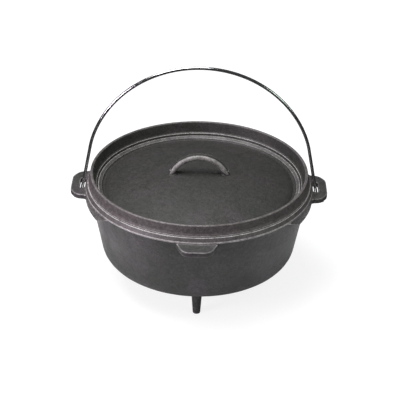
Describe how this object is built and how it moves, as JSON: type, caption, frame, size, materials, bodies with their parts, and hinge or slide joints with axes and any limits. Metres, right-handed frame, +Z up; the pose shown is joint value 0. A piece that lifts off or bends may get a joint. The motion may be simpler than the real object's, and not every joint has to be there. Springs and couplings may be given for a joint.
{
  "type": "cast iron dutch oven",
  "caption": "Camp-style cast iron dutch oven: footed pot with side ears and a front tab, flanged lift-off coal lid with an arched handle, and a swinging wire bail.",
  "frame": {"origin": "centre of the pot's flat underside, on the pot's axis", "axes": "+Z up along the pot's axis, X through the two ears, -Y towards the front tab"},
  "size_m": [0.382, 0.3613, 0.3473],
  "materials": {
    "pot_iron": "matte seasoned sand-cast iron",
    "lid_iron": "matte seasoned sand-cast iron",
    "bail_wire": "bright plated steel wire"
  },
  "bodies": {
    "pot": {"pot_shell": "pot_iron", "ear_left": "pot_iron", "ear_right": "pot_iron", "front_tab": "pot_iron", "leg_front": "pot_iron", "leg_rear_left": "pot_iron", "leg_rear_right": "pot_iron"},
    "lid": {"lid_plate": "lid_iron", "lid_rim": "lid_iron", "lid_handle": "lid_iron"},
    "bail": {"bail": "bail_wire"}
  },
  "joints": [
    {"name": "lid_lift", "type": "slide", "parent": "pot", "child": "lid", "axis": [0, 0, 1], "range_m": [0, 0.015]},
    {"name": "bail_swing", "type": "hinge", "parent": "pot", "child": "bail", "pos_m": [0, 0, 0.1091], "axis": [1, 0, 0], "range_deg": [-50, 50]}
  ]
}
